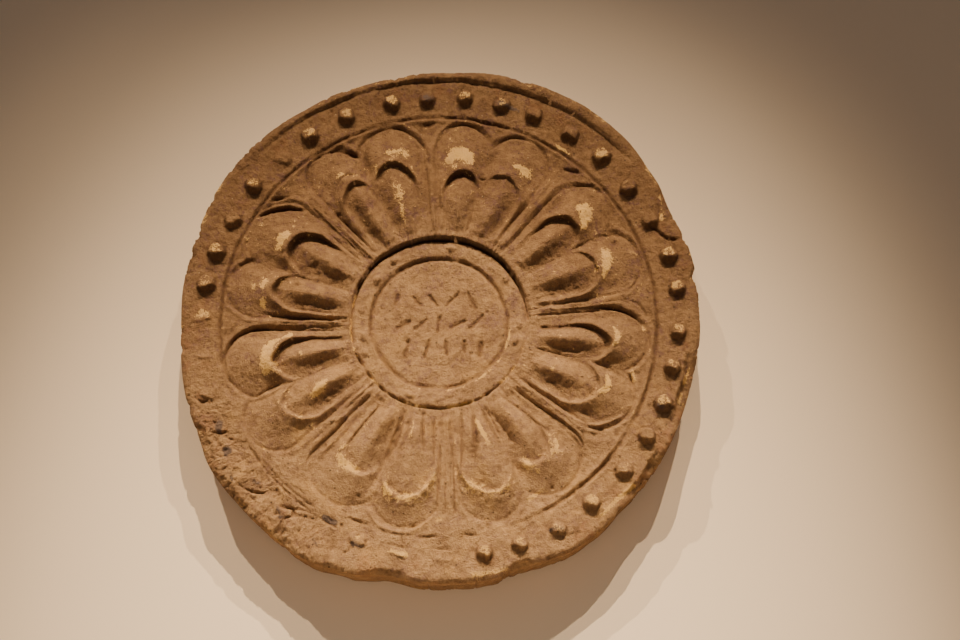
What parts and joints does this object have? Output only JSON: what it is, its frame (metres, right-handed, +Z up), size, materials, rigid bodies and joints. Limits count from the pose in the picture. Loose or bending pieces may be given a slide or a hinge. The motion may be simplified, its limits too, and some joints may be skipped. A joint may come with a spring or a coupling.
{
  "type": "roof end tile",
  "caption": "Round moulded clay roof tile end with a double-lobed lotus in relief, a sunk central disc, a beaded border and a worn, chipped rim.",
  "frame": {"origin": "centre of the flat back face, where the tile end is bedded against the end of its cover tile", "axes": "+Z up as the tile end sits on the eaves, -Y out of the moulded face, +Y into the roof, +X to the right seen from the front"},
  "size_m": [0.1509, 0.0216, 0.1547],
  "materials": {
    "fired_clay": "matt, granular, worn brown fired clay"
  },
  "bodies": {
    "root": {"end_tile": "fired_clay"}
  },
  "joints": []
}
